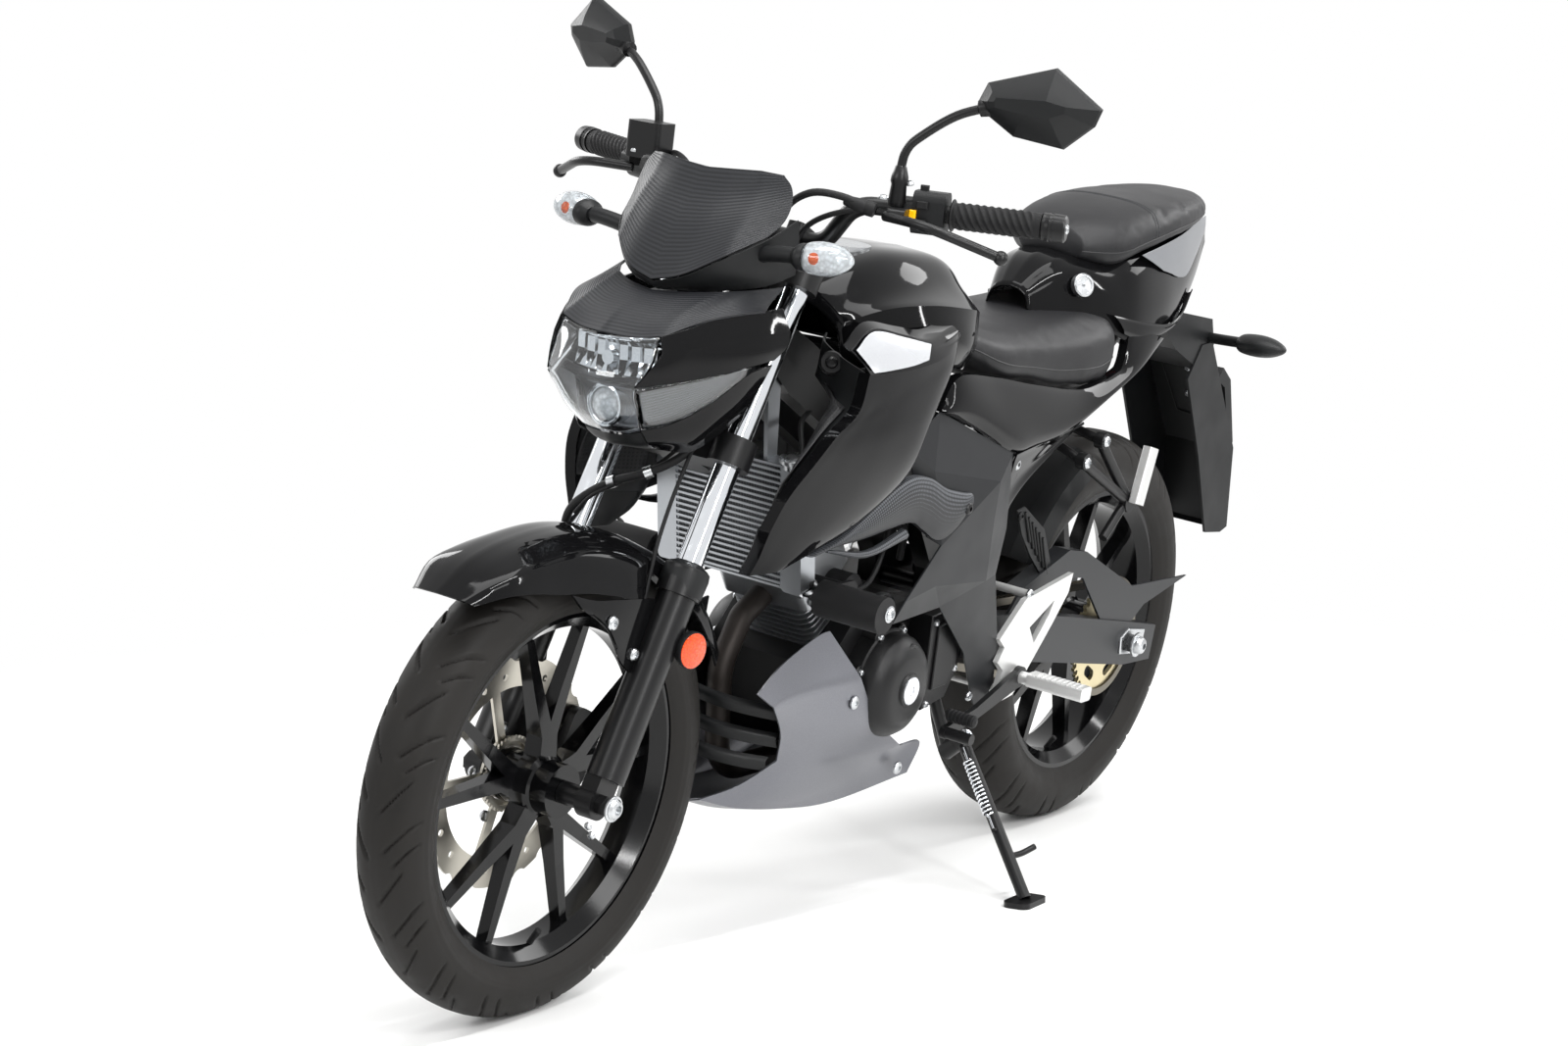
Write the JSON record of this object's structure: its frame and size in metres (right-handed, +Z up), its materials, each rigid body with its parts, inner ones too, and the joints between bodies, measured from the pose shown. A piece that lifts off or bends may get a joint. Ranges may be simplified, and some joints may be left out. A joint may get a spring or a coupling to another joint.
{
  "type": "standard motorcycle",
  "caption": "Light standard motorcycle parked on its side stand, with a single front disc, chain drive, radiator, belly pan and stepped seat.",
  "frame": {"origin": "middle of the parked machine's box, on the floor it stands on", "axes": "+X forward along the machine, +Y to the rider's left, +Z up; the machine leans to +Y on its side stand"},
  "size_m": [2.0498, 0.8078, 1.2329],
  "materials": {
    "tyre_rubber": "matte rubber with a grooved tread",
    "gloss_black_cast": "gloss black paint on cast alloy",
    "disc_steel": "ground stainless steel",
    "sprocket_steel": "zinc plated, warm silver",
    "chain_steel": "oiled steel",
    "frame_steel": "satin black paint",
    "black_casting": "satin black paint",
    "cast_alloy": "as cast",
    "header_steel": "heat-darkened steel",
    "radiator_alloy": "bare fins and tanks",
    "grey_pan": "metallic dark grey paint",
    "gloss_black_plastic": "gloss black paint with clear coat",
    "plated_steel": "zinc plated",
    "matte_panel": "matt dark grey plastic",
    "seat_vinyl": "black vinyl",
    "red_lens": "red moulded lens",
    "black_plastic": "grained black plastic",
    "swingarm_steel": "satin dark grey paint",
    "silver_casting": "satin silver paint",
    "black_tube": "satin black powder coat",
    "chromed_tube": "hard chrome",
    "grip_rubber": "ribbed rubber",
    "black_lever": "satin black paint",
    "clear_lens": "clear moulded lens",
    "dark_screen": "dark ribbed plastic"
  },
  "bodies": {
    "chassis": {"drive_chain": "chain_steel", "frame": "frame_steel", "engine_case": "black_casting", "cylinder": "cast_alloy", "engine_covers": "black_casting", "exhaust_header": "header_steel", "muffler": "black_casting", "radiator": "radiator_alloy", "belly_pan": "grey_pan", "fuel_tank": "gloss_black_plastic", "tank_shrouds": "gloss_black_plastic", "shroud_trims": "matte_panel", "frame_covers": "matte_panel", "rider_seat": "seat_vinyl", "pillion_seat": "seat_vinyl", "tail_light": "red_lens", "plate_holder": "black_plastic", "side_flanks": "gloss_black_plastic", "tail_panels": "gloss_black_plastic", "rear_indicators": "black_plastic", "swingarm": "swingarm_steel", "rear_hugger": "black_plastic", "rear_shock": "black_casting", "rear_caliper": "black_casting", "footpeg_brackets": "silver_casting", "foot_pedals": "black_casting", "pillion_hangers": "black_casting", "crash_bobbins": "black_plastic"},
    "steering": {"stanchions": "chromed_tube", "sliders": "black_casting", "lower_yoke": "black_casting", "upper_yoke": "black_casting", "handlebar": "black_tube", "grips": "grip_rubber", "switchgear": "black_plastic", "levers": "black_lever", "mirrors": "black_plastic", "headlight": "clear_lens", "headlight_cowl": "gloss_black_plastic", "fly_screen": "dark_screen", "instrument": "black_plastic", "front_indicators": "clear_lens", "front_mudguard": "gloss_black_plastic", "front_caliper": "black_casting"},
    "front_wheel": {"front_tyre": "tyre_rubber", "front_rim": "gloss_black_cast", "front_disc": "disc_steel"},
    "rear_wheel": {"rear_tyre": "tyre_rubber", "rear_rim": "gloss_black_cast", "rear_disc": "disc_steel", "rear_sprocket": "sprocket_steel"},
    "side_stand": {"side_stand": "black_tube"},
    "fuel_lid": {"fuel_lid": "plated_steel"},
    "pillion_peg_left": {"pillion_peg_left": "silver_casting"},
    "pillion_peg_right": {"pillion_peg_right": "silver_casting"}
  },
  "joints": [
    {"name": "steering_turn", "type": "hinge", "parent": "chassis", "child": "steering", "pos_m": [0.45531, -0.05744, 0.77673], "axis": [-0.4305, 0.1432, 0.8912], "range_deg": [-33, 37]},
    {"name": "front_wheel_spin", "type": "hinge", "parent": "steering", "child": "front_wheel", "pos_m": [0.73705, -0.13779, 0.28554], "axis": [0.0315, 0.9891, -0.1437], "continuous": true},
    {"name": "rear_wheel_spin", "type": "hinge", "parent": "chassis", "child": "rear_wheel", "pos_m": [-0.56293, -0.13356, 0.3031], "axis": [0, 0.9873, -0.1587], "continuous": true},
    {"name": "side_stand_fold", "type": "hinge", "parent": "chassis", "child": "side_stand", "pos_m": [-0.10293, -0.03535, 0.20832], "axis": [0.1761, 0.8039, 0.5681], "range_deg": [0, 99.74]},
    {"name": "fuel_lid_hinge", "type": "hinge", "parent": "chassis", "child": "fuel_lid", "pos_m": [0.25407, -0.03486, 0.91722], "axis": [0, 0.9873, -0.1587], "range_deg": [0, 95]},
    {"name": "pillion_peg_left_fold", "type": "hinge", "parent": "chassis", "child": "pillion_peg_left", "pos_m": [-0.42193, 0.07137, 0.51629], "axis": [-0.9684, -0.0396, -0.2464], "range_deg": [0, 90]},
    {"name": "pillion_peg_right_fold", "type": "hinge", "parent": "chassis", "child": "pillion_peg_right", "pos_m": [-0.42193, -0.26136, 0.56976], "axis": [0.9684, 0.0396, 0.2464], "range_deg": [0, 90]}
  ]
}
